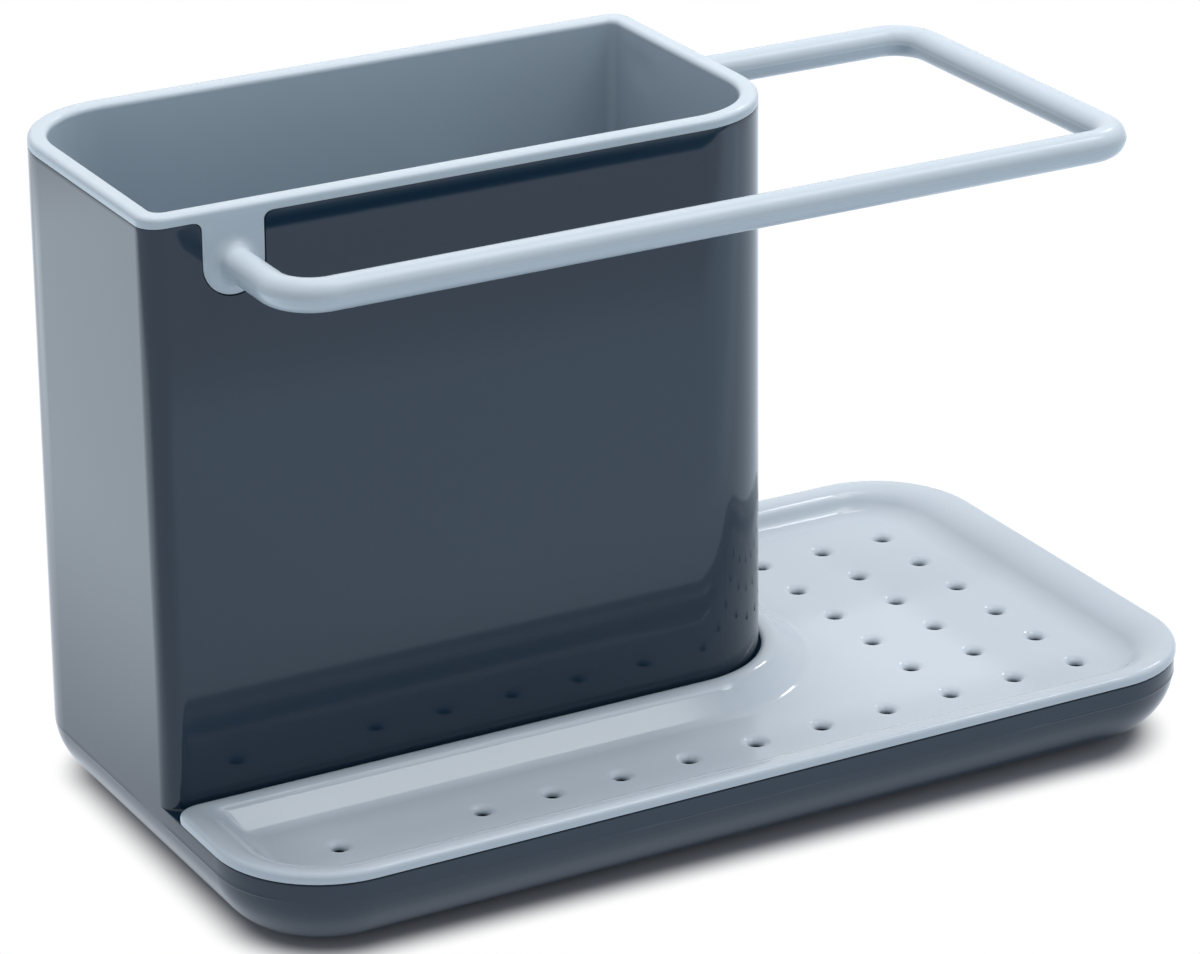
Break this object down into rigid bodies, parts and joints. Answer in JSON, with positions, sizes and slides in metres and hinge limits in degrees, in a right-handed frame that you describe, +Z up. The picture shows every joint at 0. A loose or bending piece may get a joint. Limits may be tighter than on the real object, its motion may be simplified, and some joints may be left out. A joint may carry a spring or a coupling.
{
  "type": "kitchen sink caddy",
  "caption": "Kitchen sink caddy with a tall sleeve, a lift-out bin carrying a cloth rail, and an L-shaped drain tray on a rounded base.",
  "frame": {"origin": "centre of the footprint, on the worktop that the feet stand on", "axes": "+X along the caddy from the sleeve to the tray, +Y to the back, +Z up"},
  "size_m": [0.2126, 0.1142, 0.1347],
  "materials": {
    "dark_plastic": "glossy dark blue-grey moulding",
    "light_plastic": "glossy light grey-blue moulding",
    "foot_rubber": "matt non-slip rubber"
  },
  "bodies": {
    "body": {"body": "dark_plastic", "foot_front_left": "foot_rubber", "foot_back_left": "foot_rubber", "foot_front_right": "foot_rubber", "foot_back_right": "foot_rubber"},
    "liner": {"liner": "light_plastic"},
    "drain_tray": {"drain_tray": "light_plastic"}
  },
  "joints": [
    {"name": "liner_lift", "type": "slide", "parent": "body", "child": "liner", "axis": [0, 0, 1], "range_m": [0, 0.132]},
    {"name": "tray_lift", "type": "slide", "parent": "body", "child": "drain_tray", "axis": [0, 0, 1], "range_m": [0, 0.098]}
  ]
}
